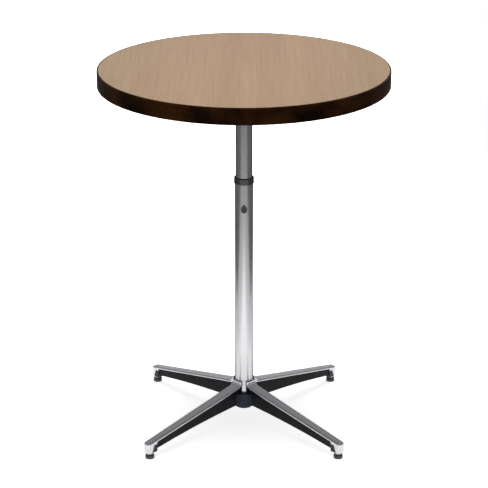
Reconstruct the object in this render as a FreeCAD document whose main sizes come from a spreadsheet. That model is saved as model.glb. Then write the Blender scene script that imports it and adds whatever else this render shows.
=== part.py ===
"""Round table on a telescoping column with a lock knob and a four-leg base.

Millimetres, +Z up, origin on the floor under the column. The front of the table faces -Y.
The column stands at its middle height.
"""
import FreeCAD, Part
import os
import re

import Sketcher

# Driving dimensions. Every length of the table is one of these or is worked out from them.
sizes = {
    # Table top
    "table_height": 914.4,
    "top_diameter": 700,
    "edge_height": 40,
    "edge_band_thickness": 4,
    "edge_band_round": 1.8,
    "laminate_thickness": 1,
    "core_thickness": 24,
    "backing_thickness": 0.8,
    "doubler_width": 60,
    "tongue_thickness": 2.4,
    "tongue_length": 9,
    # Spider and flange under the top
    "spider_thickness": 5,
    "spider_disc_margin": 9,
    "spider_reach": 172,
    "spider_arm_width": 36,
    "spider_tip_round": 12,
    "wood_screw_diameter": 5,
    "wood_screw_head_diameter": 10,
    "wood_screw_head_height": 3,
    "wood_screw_bite": 16,
    "wood_screw_disc_setback": 33,
    "wood_screw_tip_setback": 18,
    "flange_diameter": 112,
    "flange_thickness": 6,
    "flange_socket_wall": 5.5,
    "flange_socket_height": 18,
    "flange_bolt_diameter": 8,
    "flange_bolt_head_width": 13,
    "flange_bolt_head_height": 5.5,
    "flange_bolt_bite": 4,
    # Telescoping column
    "inner_tube_wall": 1.2,
    "height_travel": 152.4,
    "stop_gap": 3,
    "guide_cup_height": 45,
    "guide_cup_floor": 4,
    "guide_cup_vent": 14,
    "outer_tube_diameter": 45,
    "outer_tube_wall": 1.2,
    "outer_tube_length": 588,
    "collar_wall_thickness": 1.8,
    "collar_height": 16,
    "collar_lip": 2,
    "collar_round": 1.5,
    "sleeve_wall_thickness": 0.68,
    "sleeve_past_lock_length": 26,
    # Lock on the front of the outer tube
    "lock_drop_length": 76,
    "lock_boss_diameter": 16,
    "lock_boss_stand": 5,
    "lock_spigot_diameter": 12,
    "lock_spigot_length": 3,
    "lock_stud_diameter": 6,
    "lock_stud_grip": 4.5,
    "brake_pad_diameter": 8,
    "brake_pad_length": 2.4,
    "brake_pad_room": 1.4,
    "knob_diameter": 15,
    "knob_length": 6.5,
    "knob_round": 1.5,
    "knob_gap": 0.4,
    "knob_flute_diameter": 2.2,
    # Hub
    "hub_wall_thickness": 10.5,
    "hub_bottom": 42,
    "hub_height": 35,
    "hub_round": 3,
    "hub_boss_diameter": 44,
    "hub_boss_height": 8,
    "hub_floor_thickness": 6,
    "leg_pad_stand": 7,
    "foot_plug_height": 22,
    "tie_bolt_diameter": 12,
    "tie_bolt_head_width": 19,
    "tie_bolt_head_height": 7,
    "tie_bolt_bite": 20,
    "tie_washer_diameter": 24,
    "tie_washer_thickness": 2.5,
    "tie_recess_diameter": 27,
    "tie_recess_depth": 12,
    "bottom_cap_thickness": 2,
    # Legs
    "leg_reach": 336,
    "leg_root_rise": 21.2,
    "leg_root_width": 30,
    "leg_toe_width": 22,
    "leg_root_depth": 27,
    "leg_belly_radius": 2600,
    "cap_thickness": 5,
    "flank_inset": 1.6,
    "flare_rise": 10.6,
    "column_gap": 0.5,
    "toe_length": 28,
    "toe_drop_length": 6.5,
    "toe_front_width": 4,
    "toe_roof_thickness": 5.5,
    "channel_width": 11,
    "channel_roof": 5,
    "channel_root_wall": 26,
    "channel_end_wall": 14,
    "leg_bolt_diameter": 8,
    "leg_bolt_head_diameter": 13,
    "leg_bolt_head_height": 8,
    "leg_bolt_wall_thickness": 8,
    "leg_bolt_bite": 20,
    "toe_screw_diameter": 4,
    "toe_screw_head_diameter": 7,
    "toe_screw_head_height": 4,
    "toe_screw_rise": 10.5,
    "toe_screw_bite": 8,
    # Glides
    "glide_setback_length": 13,
    "glide_pad_diameter": 22,
    "glide_pad_height": 9,
    "glide_pad_round": 2,
    "glide_stem_diameter": 8,
    "glide_stem_length": 27,
    "glide_stem_sink": 3,
    "glide_nut_width": 13,
    "glide_nut_height": 6.5,
    "glide_nut_gap": 0.5,
    "glide_socket_diameter": 12,
    "glide_socket_length": 14,
    "glide_stem_room": 2,
    # Fits and allowances
    "slide_fit": 0.08,
    "seat_fit": 0.04,
    "hole_fit": 0.2,
    "thread_fit": 0.1,
    "lock_fit": 0.3,
    "overrun_length": 20,
}

LEG_PLACES = ("rear_right", "rear_left", "front_left", "front_right")
LEG_COUNT = len(LEG_PLACES)
FIRST_LEG_ANGLE = 45
SPIDER_ARM_COUNT = 4
KNOB_FLUTE_COUNT = 10
FULL_TURN = 360
LEG_ANGLES = {place: FIRST_LEG_ANGLE + FULL_TURN * index / LEG_COUNT
              for index, place in enumerate(LEG_PLACES)}
HEX_SIDES = 6
FLARE_ROUND_SHARE = 1.13
CROWN_ROUND_SHARE = 0.8

doc = FreeCAD.newDocument("PedestalTable")
sheet = doc.addObject("Spreadsheet::Sheet", "Sizes")
for row, (alias, value) in enumerate(sizes.items(), start=1):
    sheet.set(f"A{row}", str(value))
    sheet.setAlias(f"A{row}", alias)
doc.recompute()

# Derived lengths, as formulas of the sheet's cells
outer_radius = "(outer_tube_diameter / 2)"
bore_radius = f"({outer_radius} - outer_tube_wall)"
inner_radius = f"({bore_radius} - seat_fit - sleeve_wall_thickness - slide_fit)"
inner_bore_radius = f"({inner_radius} - inner_tube_wall)"
top_radius = "(top_diameter / 2)"
panel_radius = f"({top_radius} - edge_band_thickness)"
core_top = "(table_height - laminate_thickness)"
core_bottom = f"({core_top} - core_thickness)"
backing_bottom = f"({core_bottom} - backing_thickness)"
edge_bottom = "(table_height - edge_height)"
spider_bottom = f"({backing_bottom} - spider_thickness)"
flange_bottom = f"({spider_bottom} - flange_thickness)"
flange_radius = "(flange_diameter / 2)"
flange_socket_radius = f"({inner_radius} + flange_socket_wall)"
flange_bolt_radius = f"(({flange_socket_radius} + {flange_radius}) / 2)"
spider_disc_radius = f"({flange_radius} + spider_disc_margin)"
wood_screw_circles = {
    "inner": f"({spider_disc_radius} + wood_screw_disc_setback)",
    "outer": "(spider_reach - wood_screw_tip_setback)",
}
hub_radius = f"({outer_radius} + hub_wall_thickness)"
hub_top = "(hub_bottom + hub_height)"
hub_boss_bottom = "(hub_bottom - hub_boss_height)"
hub_floor_bottom = f"({hub_boss_bottom} + tie_recess_depth)"
column_seat = f"({hub_floor_bottom} + hub_floor_thickness)"
leg_pad_reach = f"({hub_radius} + leg_pad_stand)"
outer_tube_top = f"({column_seat} + outer_tube_length)"
collar_top = f"({outer_tube_top} + collar_lip)"
collar_radius = f"({outer_radius} + collar_wall_thickness)"
collar_bottom = f"({collar_top} - collar_height)"
lock_height = f"({collar_top} - lock_drop_length)"
sleeve_bottom = f"({lock_height} - sleeve_past_lock_length)"
cup_rim = f"({sleeve_bottom} - height_travel - stop_gap)"
cup_bottom = f"({cup_rim} - guide_cup_height)"
inner_tube_bottom = f"({cup_bottom} + guide_cup_floor)"
lock_face = f"({outer_radius} + lock_boss_stand)"
pad_back = f"({inner_radius} + slide_fit)"
pad_front = f"({pad_back} + brake_pad_length)"
knob_back = f"({lock_face} + knob_gap)"
flare_back = f"({outer_radius} + column_gap)"
flare_face = f"({flare_back} + cap_thickness)"
toe_start = "(leg_reach - toe_length)"
leg_bolt_seat = f"({leg_pad_reach} - leg_bolt_wall_thickness)"
glide_radius = "(leg_reach - glide_setback_length)"
stem_top = "(glide_pad_height - glide_stem_sink + glide_stem_length)"
toe_bottom = "(glide_pad_height + glide_nut_height + glide_nut_gap)"
leg_flank_root_width = "(leg_root_width - 2 * flank_inset)"
leg_flank_toe_width = "(leg_toe_width - 2 * flank_inset)"
leg_root_bottom = f"({hub_top} - leg_root_depth)"
leg_bolt_height = f"({hub_top} - leg_root_depth / 2)"
leg_end_bottom = f"({toe_bottom} + toe_drop_length)"
toe_screw_height = f"({leg_end_bottom} + toe_screw_rise)"
leg_top_at_column = f"({hub_top} + leg_root_rise)"
leg_top_at_toe = f"({stem_top} + glide_stem_room + toe_roof_thickness)"
leg_slope = f"(({leg_top_at_column} - {leg_top_at_toe}) / (leg_reach - {flare_face}))"
channel_start = f"({leg_pad_reach} + channel_root_wall)"
channel_end = f"({toe_start} - channel_end_wall)"


def leg_top(radius):
    """Height of the leg's polished top at a distance from the column's axis."""
    return f"({leg_top_at_toe} + {leg_slope} * (leg_reach - {radius}))"


def leg_under(radius):
    """Height of the seam between the polished strip and the black leg."""
    return f"({leg_top(radius)} - cap_thickness)"


def tied(formula):
    """Formula with each size's name pointing at its cell."""
    return re.sub(r"[a-z_]+", lambda word: f"Sizes.{word[0]}" if word[0] in sizes else word[0], formula)


def number(formula):
    """Value of a formula at the present sizes."""
    return float(sheet.evalExpression(tied(formula)))


def new_body(label, angle=0):
    """Empty body, turned about the column's axis."""
    body = doc.addObject("PartDesign::Body", label)
    body.Placement = FreeCAD.Placement(FreeCAD.Vector(), FreeCAD.Rotation(FreeCAD.Vector(0, 0, 1), angle))
    return body


def origin_part(body, role):
    """Plane or axis of a body's own origin."""
    return next(part for part in body.Origin.OriginFeatures if part.Role == role)


def new_sketch(body, name, plane, lift="0", rise="0"):
    """Sketch on an origin plane, lifted along the plane's normal and raised along its second axis."""
    sketch = body.newObject("Sketcher::SketchObject", f"{body.Name}_{name}")
    sketch.AttachmentSupport = [(origin_part(body, plane), "")]
    sketch.MapMode = "FlatFace"
    sketch.setExpression("AttachmentOffset.Base.y", tied(rise))
    sketch.setExpression("AttachmentOffset.Base.z", tied(lift))
    return sketch


def fix_point(sketch, curve, end, across, up):
    """Tie one point of a sketch to a pair of formulas."""
    for formula, kind, axis in ((across, "DistanceX", -2), (up, "DistanceY", -1)):
        length = number(formula)
        if length == 0:
            sketch.addConstraint(Sketcher.Constraint("PointOnObject", curve, end, axis))
            continue
        row = sketch.addConstraint(Sketcher.Constraint(kind, -1, 1, curve, end, length))
        sketch.setExpression(f"Constraints[{row}]", tied(formula))


def arch(start, end, radius):
    """Arc from a point to one on its left, swelling upwards."""
    middle = (start + end) / 2
    half_chord = (end - start).Length / 2
    rise = radius - (radius ** 2 - half_chord ** 2) ** 0.5
    upwards = FreeCAD.Vector(end.y - start.y, start.x - end.x, 0).normalize()
    return Part.Arc(start, middle + upwards * rise, end)


def draw_outline(sketch, corners, closing_radius=None):
    """Closed outline of lines through corners given as pairs of formulas, its last side an arch if asked."""
    spots = [FreeCAD.Vector(number(across), number(up), 0) for across, up in corners]
    count = len(spots)
    for index in range(count):
        start, end = spots[index], spots[(index + 1) % count]
        if closing_radius and index == count - 1:
            radius = number(closing_radius)
            curve = sketch.addGeometry(arch(start, end, radius), False)
            row = sketch.addConstraint(Sketcher.Constraint("Radius", curve, radius))
            sketch.setExpression(f"Constraints[{row}]", tied(closing_radius))
        else:
            sketch.addGeometry(Part.LineSegment(start, end), False)
    for index in range(count):
        sketch.addConstraint(Sketcher.Constraint("Coincident", index, 2, (index + 1) % count, 1))
    for index, (across, up) in enumerate(corners):
        fix_point(sketch, index, 1, across, up)


def draw_circle(sketch, across, up, radius):
    """Circle whose centre and radius are formulas."""
    centre = FreeCAD.Vector(number(across), number(up), 0)
    curve = sketch.addGeometry(Part.Circle(centre, FreeCAD.Vector(0, 0, 1), number(radius)), False)
    fix_point(sketch, curve, 3, across, up)
    row = sketch.addConstraint(Sketcher.Constraint("Radius", curve, number(radius)))
    sketch.setExpression(f"Constraints[{row}]", tied(radius))


def turn(body, name, corners):
    """Solid of revolution about Z from an outline of radius and height pairs."""
    sketch = new_sketch(body, f"{name}_outline", "XZ_Plane")
    draw_outline(sketch, corners)
    feature = body.newObject("PartDesign::Revolution", f"{body.Name}_{name}")
    feature.Profile = sketch
    feature.ReferenceAxis = (sketch, ["V_Axis"])
    feature.Angle = FULL_TURN
    doc.recompute()
    return feature


def extrude(body, name, sketch, length, kind="PartDesign::Pad", both_ways=False, ahead=True):
    """Pad or pocket of a sketch, ahead along its normal, behind it, or half each way."""
    before = body.Shape.Volume if kind == "PartDesign::Pocket" else None
    feature = body.newObject(kind, f"{body.Name}_{name}")
    feature.Profile = sketch
    feature.setExpression("Length", tied(length))
    if both_ways:
        feature.SideType = "Symmetric"
    else:
        feature.Reversed = ahead if kind == "PartDesign::Pocket" else not ahead
    doc.recompute()
    if before is not None and feature.Shape.Volume >= before:
        raise RuntimeError(f"{feature.Name} cuts nothing")
    return feature


def drill(body, name, plane, lift, spot, radius, depth):
    """Round pocket ahead of a lifted plane, at a spot given as a pair of formulas."""
    sketch = new_sketch(body, f"{name}_circle", plane, lift)
    draw_circle(sketch, spot[0], spot[1], radius)
    return extrude(body, name, sketch, depth, "PartDesign::Pocket")


def repeat_round(body, name, features, count, axis=None):
    """Polar pattern of features, about Z unless another axis is given."""
    pattern = body.newObject("PartDesign::PolarPattern", f"{body.Name}_{name}")
    pattern.Originals = features
    pattern.Axis = axis or (origin_part(body, "Z_Axis"), [""])
    pattern.Angle = FULL_TURN
    pattern.Occurrences = count
    body.Tip = pattern
    doc.recompute()
    return pattern


def mirror_across(body, name, features):
    """Copy of features on the other side of the body's XZ plane."""
    mirror = body.newObject("PartDesign::Mirrored", f"{body.Name}_{name}")
    mirror.Originals = features
    mirror.MirrorPlane = (origin_part(body, "XZ_Plane"), [""])
    body.Tip = mirror
    doc.recompute()
    return mirror


def round_edges(body, name, radius, chosen):
    """Fillet on each edge of the body that the test picks out."""
    base = body.Tip
    edges = [f"Edge{index}" for index, edge in enumerate(base.Shape.Edges, start=1) if chosen(edge)]
    if not edges:
        raise RuntimeError(f"{body.Name} has no edge for {name}")
    fillet = body.newObject("PartDesign::Fillet", f"{body.Name}_{name}")
    fillet.Base = (base, edges)
    fillet.setExpression("Radius", tied(radius))
    doc.recompute()
    return fillet


def near(first, second):
    """Whether two lengths are the same to a modelling tolerance."""
    return abs(first - second) <= number("seat_fit / 10")


def is_ring(edge, radius, height):
    """Whether an edge is a full circle of a radius at a height."""
    if not isinstance(edge.Curve, Part.Circle):
        return False
    return near(edge.Curve.Radius, number(radius)) and near(edge.BoundBox.ZMin, number(height)) \
        and near(edge.BoundBox.ZMax, number(height))


def crosses_at(edge, across, up):
    """Whether an edge runs straight across a leg at a distance and a height."""
    box = edge.BoundBox
    flat = near(box.XMin, box.XMax) and near(box.ZMin, box.ZMax)
    return flat and near(box.XMin, number(across)) and near(box.ZMin, number(up))


def cylinder(label, radius, length, placement):
    """Plain cylinder with its foot at a placement."""
    shape = doc.addObject("Part::Cylinder", label)
    shape.setExpression("Radius", tied(radius))
    shape.setExpression("Height", tied(length))
    shape.Placement = placement
    return shape


def hexagon(label, width, height, placement):
    """Hexagonal prism of a width across its flats."""
    shape = doc.addObject("Part::Prism", label)
    shape.Polygon = HEX_SIDES
    shape.setExpression("Circumradius", tied(f"{width} / sqrt(3)"))
    shape.setExpression("Height", tied(height))
    shape.Placement = placement
    return shape


def joined(label, first, second):
    """Union of two shapes."""
    fuse = doc.addObject("Part::Fuse", label)
    fuse.Base = first
    fuse.Tool = second
    return fuse


def bolt(label, head, shank_radius, shank_length, spot):
    """Bolt with its shank along local Z from the spot and its head behind it."""
    kind, head_size, head_height = head
    behind = spot * FreeCAD.Placement(FreeCAD.Vector(0, 0, -number(head_height)), FreeCAD.Rotation())
    if kind == "hex":
        head_shape = hexagon(f"{label}_head", head_size, head_height, behind)
    else:
        head_shape = cylinder(f"{label}_head", f"{head_size} / 2", head_height, behind)
    shank = cylinder(f"{label}_shank", shank_radius, shank_length, spot)
    return joined(label, head_shape, shank)


def group(label, members):
    """Separate solids kept together as one piece of the parts list."""
    compound = doc.addObject("Part::Compound", label)
    compound.Links = members
    doc.recompute()
    return compound


def spot_round(radius, height, angle, tilt=None):
    """Placement at a radius, a height and an angle about the column, its Z turned outwards by a tilt."""
    turned = FreeCAD.Rotation(FreeCAD.Vector(0, 0, 1), angle)
    base = turned.multVec(FreeCAD.Vector(number(radius), 0, number(height)))
    leaning = tilt or FreeCAD.Rotation()
    return FreeCAD.Placement(base, turned * leaning)


OUTWARDS = FreeCAD.Rotation(FreeCAD.Vector(0, 0, 1), FreeCAD.Vector(1, 0, 0))


def block(low_radius, high_radius, low, high):
    """Corners of a rectangle of radius and height."""
    return [(low_radius, low), (high_radius, low), (high_radius, high), (low_radius, high)]


def make_top_laminate():
    """Thin decorative sheet that is the table's face."""
    body = new_body("top_laminate")
    turn(body, "sheet", block("0", panel_radius, core_top, "table_height"))
    return body


def tongue_height():
    """Middle height of the groove that holds the edge band's tongue."""
    return f"({core_bottom} + core_thickness / 2)"


def drill_round(body, name, plane, lift, spot, radius, depth, count):
    """Ring of equal holes about the column's axis."""
    hole = drill(body, f"{name}_hole", plane, lift, spot, radius, depth)
    return repeat_round(body, f"{name}_ring", [hole], count)


def drill_screw_holes(body, lift, depth, radius):
    """Holes for the wood screws, two on each arm of the spider."""
    for name, circle in wood_screw_circles.items():
        drill_round(body, f"{name}_screw", "XY_Plane", lift, (circle, "0"), radius, depth, SPIDER_ARM_COUNT)


wood_pilot = "wood_screw_diameter / 2 + seat_fit"


def make_core_panel():
    """Board of the top, grooved round its rim for the edge band's tongue."""
    body = new_body("core_panel")
    groove_low = f"({tongue_height()} - tongue_thickness / 2 - seat_fit)"
    groove_high = f"({tongue_height()} + tongue_thickness / 2 + seat_fit)"
    groove_floor = f"({panel_radius} - tongue_length - seat_fit)"
    turn(body, "board", [
        ("0", core_bottom),
        (panel_radius, core_bottom),
        (panel_radius, groove_low),
        (groove_floor, groove_low),
        (groove_floor, groove_high),
        (panel_radius, groove_high),
        (panel_radius, core_top),
        ("0", core_top),
    ])
    depth = "wood_screw_bite - backing_thickness + hole_fit"
    drill_screw_holes(body, core_bottom, depth, wood_pilot)
    return body


def make_backing_sheet():
    """Balancing sheet under the board."""
    body = new_body("backing_sheet")
    turn(body, "sheet", block("0", panel_radius, backing_bottom, core_bottom))
    drill_screw_holes(body, backing_bottom, "backing_thickness", wood_pilot)
    return body


def make_edge_doubler():
    """Ring under the rim that makes the edge look deep."""
    body = new_body("edge_doubler")
    turn(body, "ring", block(f"{panel_radius} - doubler_width", panel_radius, edge_bottom, backing_bottom))
    return body


def make_edge_band():
    """Edge moulding with a tongue pressed into the board's groove."""
    body = new_body("edge_band")
    inside = f"({panel_radius} + seat_fit)"
    tongue_low = f"({tongue_height()} - tongue_thickness / 2)"
    tongue_high = f"({tongue_height()} + tongue_thickness / 2)"
    tongue_end = f"({panel_radius} - tongue_length)"
    turn(body, "moulding", [
        (inside, edge_bottom),
        (top_radius, edge_bottom),
        (top_radius, "table_height"),
        (inside, "table_height"),
        (inside, tongue_high),
        (tongue_end, tongue_high),
        (tongue_end, tongue_low),
        (inside, tongue_low),
    ])
    corners = ("table_height", edge_bottom)
    round_edges(body, "corners", "edge_band_round",
                lambda edge: any(is_ring(edge, top_radius, height) for height in corners))
    return body


def make_mounting_spider():
    """Steel plate with four arms that carries the top."""
    body = new_body("mounting_spider")
    turn(body, "disc", block("0", spider_disc_radius, spider_bottom, backing_bottom))
    side = new_sketch(body, "arm_side", "XZ_Plane")
    draw_outline(side, block("0", "spider_reach", spider_bottom, backing_bottom))
    arm = extrude(body, "arm", side, "spider_arm_width", both_ways=True)
    repeat_round(body, "arms", [arm], SPIDER_ARM_COUNT)
    tip = number("spider_reach")
    half = number("spider_arm_width / 2")

    def at_tip(edge):
        box = edge.BoundBox
        upright = near(box.XLength, 0) and near(box.YLength, 0)
        across, along = sorted((abs(box.XMin), abs(box.YMin)))
        return upright and near(across, half) and near(along, tip)

    round_edges(body, "tips", "spider_tip_round", at_tip)
    drill_screw_holes(body, spider_bottom, "spider_thickness", "wood_screw_diameter / 2 + hole_fit")
    drill_round(body, "bolt", "XY_Plane", spider_bottom, (flange_bolt_radius, "0"),
                "flange_bolt_diameter / 2 + seat_fit", "flange_bolt_bite + hole_fit", SPIDER_ARM_COUNT)
    return body


def make_spider_screws():
    """Wood screws through the spider into the board."""
    screws = []
    head = ("round", "wood_screw_head_diameter", "wood_screw_head_height")
    length = "spider_thickness + wood_screw_bite"
    for name, circle in wood_screw_circles.items():
        for arm in range(SPIDER_ARM_COUNT):
            spot = spot_round(circle, spider_bottom, arm * FULL_TURN / SPIDER_ARM_COUNT)
            screws.append(bolt(f"{name}_screw_{arm}", head, "wood_screw_diameter / 2", length, spot))
    return group("spider_screws", screws)


def make_top_flange():
    """Flange and socket on the upper end of the inner tube."""
    body = new_body("top_flange")
    bore = f"({inner_radius} + seat_fit)"
    turn(body, "plate", [
        (bore, f"{flange_bottom} - flange_socket_height"),
        (flange_socket_radius, f"{flange_bottom} - flange_socket_height"),
        (flange_socket_radius, flange_bottom),
        (flange_radius, flange_bottom),
        (flange_radius, spider_bottom),
        (bore, spider_bottom),
    ])
    drill_round(body, "bolt", "XY_Plane", flange_bottom, (flange_bolt_radius, "0"),
                "flange_bolt_diameter / 2 + hole_fit", "flange_thickness", SPIDER_ARM_COUNT)
    return body


def make_flange_bolts():
    """Hexagon bolts from the flange up into the spider."""
    head = ("hex", "flange_bolt_head_width", "flange_bolt_head_height")
    length = "flange_thickness + flange_bolt_bite"
    spots = [spot_round(flange_bolt_radius, flange_bottom, arm * FULL_TURN / SPIDER_ARM_COUNT)
             for arm in range(SPIDER_ARM_COUNT)]
    return group("flange_bolts", [bolt(f"flange_bolt_{index}", head, "flange_bolt_diameter / 2", length, spot)
                                  for index, spot in enumerate(spots)])


def make_inner_tube():
    """Plain upper tube of the column."""
    body = new_body("column_inner_tube")
    turn(body, "tube", block(inner_bore_radius, inner_radius, inner_tube_bottom, spider_bottom))
    return body


def make_lower_guide():
    """Nylon cup on the inner tube's lower end: it guides the tube and stops it at full height."""
    body = new_body("lower_guide_cup")
    outside = f"({bore_radius} - slide_fit)"
    turn(body, "cup", [
        ("guide_cup_vent / 2", cup_bottom),
        (outside, cup_bottom),
        (outside, cup_rim),
        (f"{inner_radius} + seat_fit", cup_rim),
        (f"{inner_radius} + seat_fit", inner_tube_bottom),
        ("guide_cup_vent / 2", inner_tube_bottom),
    ])
    return body


def make_outer_tube():
    """Lower tube of the column, with a hole in front for the lock."""
    body = new_body("column_outer_tube")
    turn(body, "tube", block(bore_radius, outer_radius, column_seat, outer_tube_top))
    drill(body, "lock_hole", "XZ_Plane", "0", ("0", lock_height), "lock_spigot_diameter / 2", lock_face)
    return body


def make_guide_bushing():
    """Collar over the outer tube's mouth, in one piece with the sleeve that guides the inner tube."""
    body = new_body("guide_bushing")
    bore = f"({inner_radius} + slide_fit)"
    sleeve = f"({bore_radius} - seat_fit)"
    turn(body, "collar", [
        (bore, sleeve_bottom),
        (sleeve, sleeve_bottom),
        (sleeve, outer_tube_top),
        (f"{outer_radius} + seat_fit", outer_tube_top),
        (f"{outer_radius} + seat_fit", collar_bottom),
        (collar_radius, collar_bottom),
        (collar_radius, collar_top),
        (bore, collar_top),
    ])
    rims = (collar_top, collar_bottom)
    round_edges(body, "rims", "collar_round",
                lambda edge: any(is_ring(edge, collar_radius, height) for height in rims))
    drill(body, "brake_window", "XZ_Plane", "0", ("0", lock_height),
          "brake_pad_diameter / 2 + lock_fit", outer_radius)
    return body


def bore_column(body, name, radius):
    """Cut away what lies within a radius of the column's axis."""
    sketch = new_sketch(body, f"{name}_circle", "XY_Plane")
    draw_circle(sketch, "0", "0", radius)
    return extrude(body, name, sketch, outer_tube_top, "PartDesign::Pocket")


def make_lock_boss():
    """Threaded boss saddled on the outer tube, with a pocket for the brake pad."""
    body = new_body("lock_boss")
    face = new_sketch(body, "face", "XZ_Plane", rise=lock_height)
    draw_circle(face, "0", "0", "lock_boss_diameter / 2")
    extrude(body, "boss", face, lock_face)
    bore_column(body, "saddle", f"{outer_radius} + seat_fit")
    spigot = new_sketch(body, "spigot_end", "XZ_Plane", f"{bore_radius} + seat_fit", lock_height)
    draw_circle(spigot, "0", "0", "lock_spigot_diameter / 2 - seat_fit")
    extrude(body, "spigot", spigot, "lock_spigot_length")
    centre = ("0", lock_height)
    drill(body, "pad_pocket", "XZ_Plane", "0", centre, "brake_pad_diameter / 2 + lock_fit",
          f"{pad_front} + brake_pad_room")
    drill(body, "thread", "XZ_Plane", "0", centre, "lock_stud_diameter / 2 + thread_fit",
          f"{lock_face} + overrun_length")
    round_edges(body, "rim", "knob_round",
                lambda edge: is_front_ring(edge, "lock_boss_diameter / 2", lock_face))
    return body


def is_front_ring(edge, radius, distance):
    """Whether an edge is a full circle facing the front at a distance from the column's axis."""
    if not isinstance(edge.Curve, Part.Circle):
        return False
    box = edge.BoundBox
    return near(edge.Curve.Radius, number(radius)) and near(box.YMin, -number(distance)) \
        and near(box.YMax, -number(distance))


def make_brake_pad():
    """Nylon pad, hollowed to bear on the inner tube."""
    body = new_body("brake_pad")
    face = new_sketch(body, "face", "XZ_Plane", rise=lock_height)
    draw_circle(face, "0", "0", "brake_pad_diameter / 2")
    extrude(body, "plug", face, pad_front)
    bore_column(body, "hollow", pad_back)
    return body


def make_lock_stud():
    """Threaded stud from the knob to the brake pad."""
    body = new_body("lock_stud")
    end = new_sketch(body, "end", "XZ_Plane", f"{pad_front} + seat_fit", lock_height)
    draw_circle(end, "0", "0", "lock_stud_diameter / 2")
    extrude(body, "stud", end, f"{knob_back} + lock_stud_grip - {pad_front} - seat_fit")
    return body


def make_lock_knob():
    """Low fluted knob that clamps the column."""
    body = new_body("lock_knob")
    face = new_sketch(body, "face", "XZ_Plane", knob_back, lock_height)
    draw_circle(face, "0", "0", "knob_diameter / 2")
    extrude(body, "disc", face, "knob_length")
    crown = f"({knob_back} + knob_length)"
    round_edges(body, "crown", "knob_round", lambda edge: is_front_ring(edge, "knob_diameter / 2", crown))
    centre = ("0", lock_height)
    drill(body, "stud_hole", "XZ_Plane", "0", centre, "lock_stud_diameter / 2 + seat_fit",
          f"{knob_back} + lock_stud_grip + seat_fit")
    groove = new_sketch(body, "flute_circle", "XZ_Plane", knob_back, lock_height)
    draw_circle(groove, "0", "knob_diameter / 2", "knob_flute_diameter / 2")
    flute = extrude(body, "flute", groove, "knob_length", "PartDesign::Pocket")
    repeat_round(body, "flutes", [flute], KNOB_FLUTE_COUNT, (face, ["N_Axis"]))
    return body


def make_foot_plug():
    """Threaded plug welded in the foot of the outer tube."""
    body = new_body("column_foot_plug")
    turn(body, "plug", block("tie_bolt_diameter / 2 + seat_fit", f"{bore_radius} - seat_fit",
                             column_seat, f"{column_seat} + foot_plug_height"))
    return body


def make_hub():
    """Cast hub: a socket for the column, a boss underneath and a flat pad for each leg."""
    body = new_body("hub", FIRST_LEG_ANGLE)
    tie_hole = "(tie_bolt_diameter / 2 + hole_fit)"
    recess = "(tie_recess_diameter / 2)"
    socket = f"({outer_radius} + seat_fit)"
    turn(body, "casting", [
        (tie_hole, hub_floor_bottom),
        (recess, hub_floor_bottom),
        (recess, hub_boss_bottom),
        ("hub_boss_diameter / 2", hub_boss_bottom),
        ("hub_boss_diameter / 2", "hub_bottom"),
        (hub_radius, "hub_bottom"),
        (hub_radius, hub_top),
        (socket, hub_top),
        (socket, column_seat),
        (tie_hole, column_seat),
    ])
    rings = ((hub_radius, "hub_bottom"), ("hub_boss_diameter / 2", hub_boss_bottom))
    round_edges(body, "rims", "hub_round", lambda edge: any(is_ring(edge, *ring) for ring in rings))
    side = new_sketch(body, "pad_side", "XZ_Plane")
    draw_outline(side, block(f"{hub_radius} - hub_round", leg_pad_reach, leg_root_bottom, hub_top))
    pad = extrude(body, "leg_pad", side, leg_flank_root_width, both_ways=True)
    repeat_round(body, "leg_pads", [pad], LEG_COUNT)
    centre = ("0", leg_bolt_height)
    drill_round(body, "leg_bolt", "YZ_Plane", "0", centre, "leg_bolt_diameter / 2 + hole_fit",
                f"{leg_pad_reach} + overrun_length", LEG_COUNT)
    drill_round(body, "bolt_head", "YZ_Plane", "0", centre, "leg_bolt_head_diameter / 2 + hole_fit",
                leg_bolt_seat, LEG_COUNT)
    return body


def make_tie_pieces():
    """Tie bolt and washer that pull the column down into the hub, and the cap that hides them."""
    spot = spot_round("0", f"{hub_floor_bottom} - tie_washer_thickness", 0)
    head = ("hex", "tie_bolt_head_width", "tie_bolt_head_height")
    length = "tie_washer_thickness + hub_floor_thickness + tie_bolt_bite"
    tie_bolt = bolt("tie_bolt", head, "tie_bolt_diameter / 2", length, spot)
    washer = new_body("tie_washer")
    turn(washer, "ring", block("tie_bolt_diameter / 2 + hole_fit", "tie_washer_diameter / 2",
                               f"{hub_floor_bottom} - tie_washer_thickness", hub_floor_bottom))
    cap = new_body("hub_bottom_cap")
    turn(cap, "disc", block("0", "tie_recess_diameter / 2 - seat_fit", hub_boss_bottom,
                            f"{hub_boss_bottom} + bottom_cap_thickness"))
    return [tie_bolt, washer, cap]


def taper_sides(body, root_width, toe_width):
    """Trim a leg-shaped bar to its narrowing width."""
    plan = new_sketch(body, "taper_plan", "XY_Plane")
    draw_outline(plan, [
        (flare_back, f"{root_width} / 2"),
        ("leg_reach", f"{toe_width} / 2"),
        ("leg_reach", f"{root_width} / 2 + overrun_length"),
        (flare_back, f"{root_width} / 2 + overrun_length"),
    ])
    side = extrude(body, "taper", plan, f"{leg_top_at_column} + flare_rise", "PartDesign::Pocket")
    mirror_across(body, "taper_mirror", [side])


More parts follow.
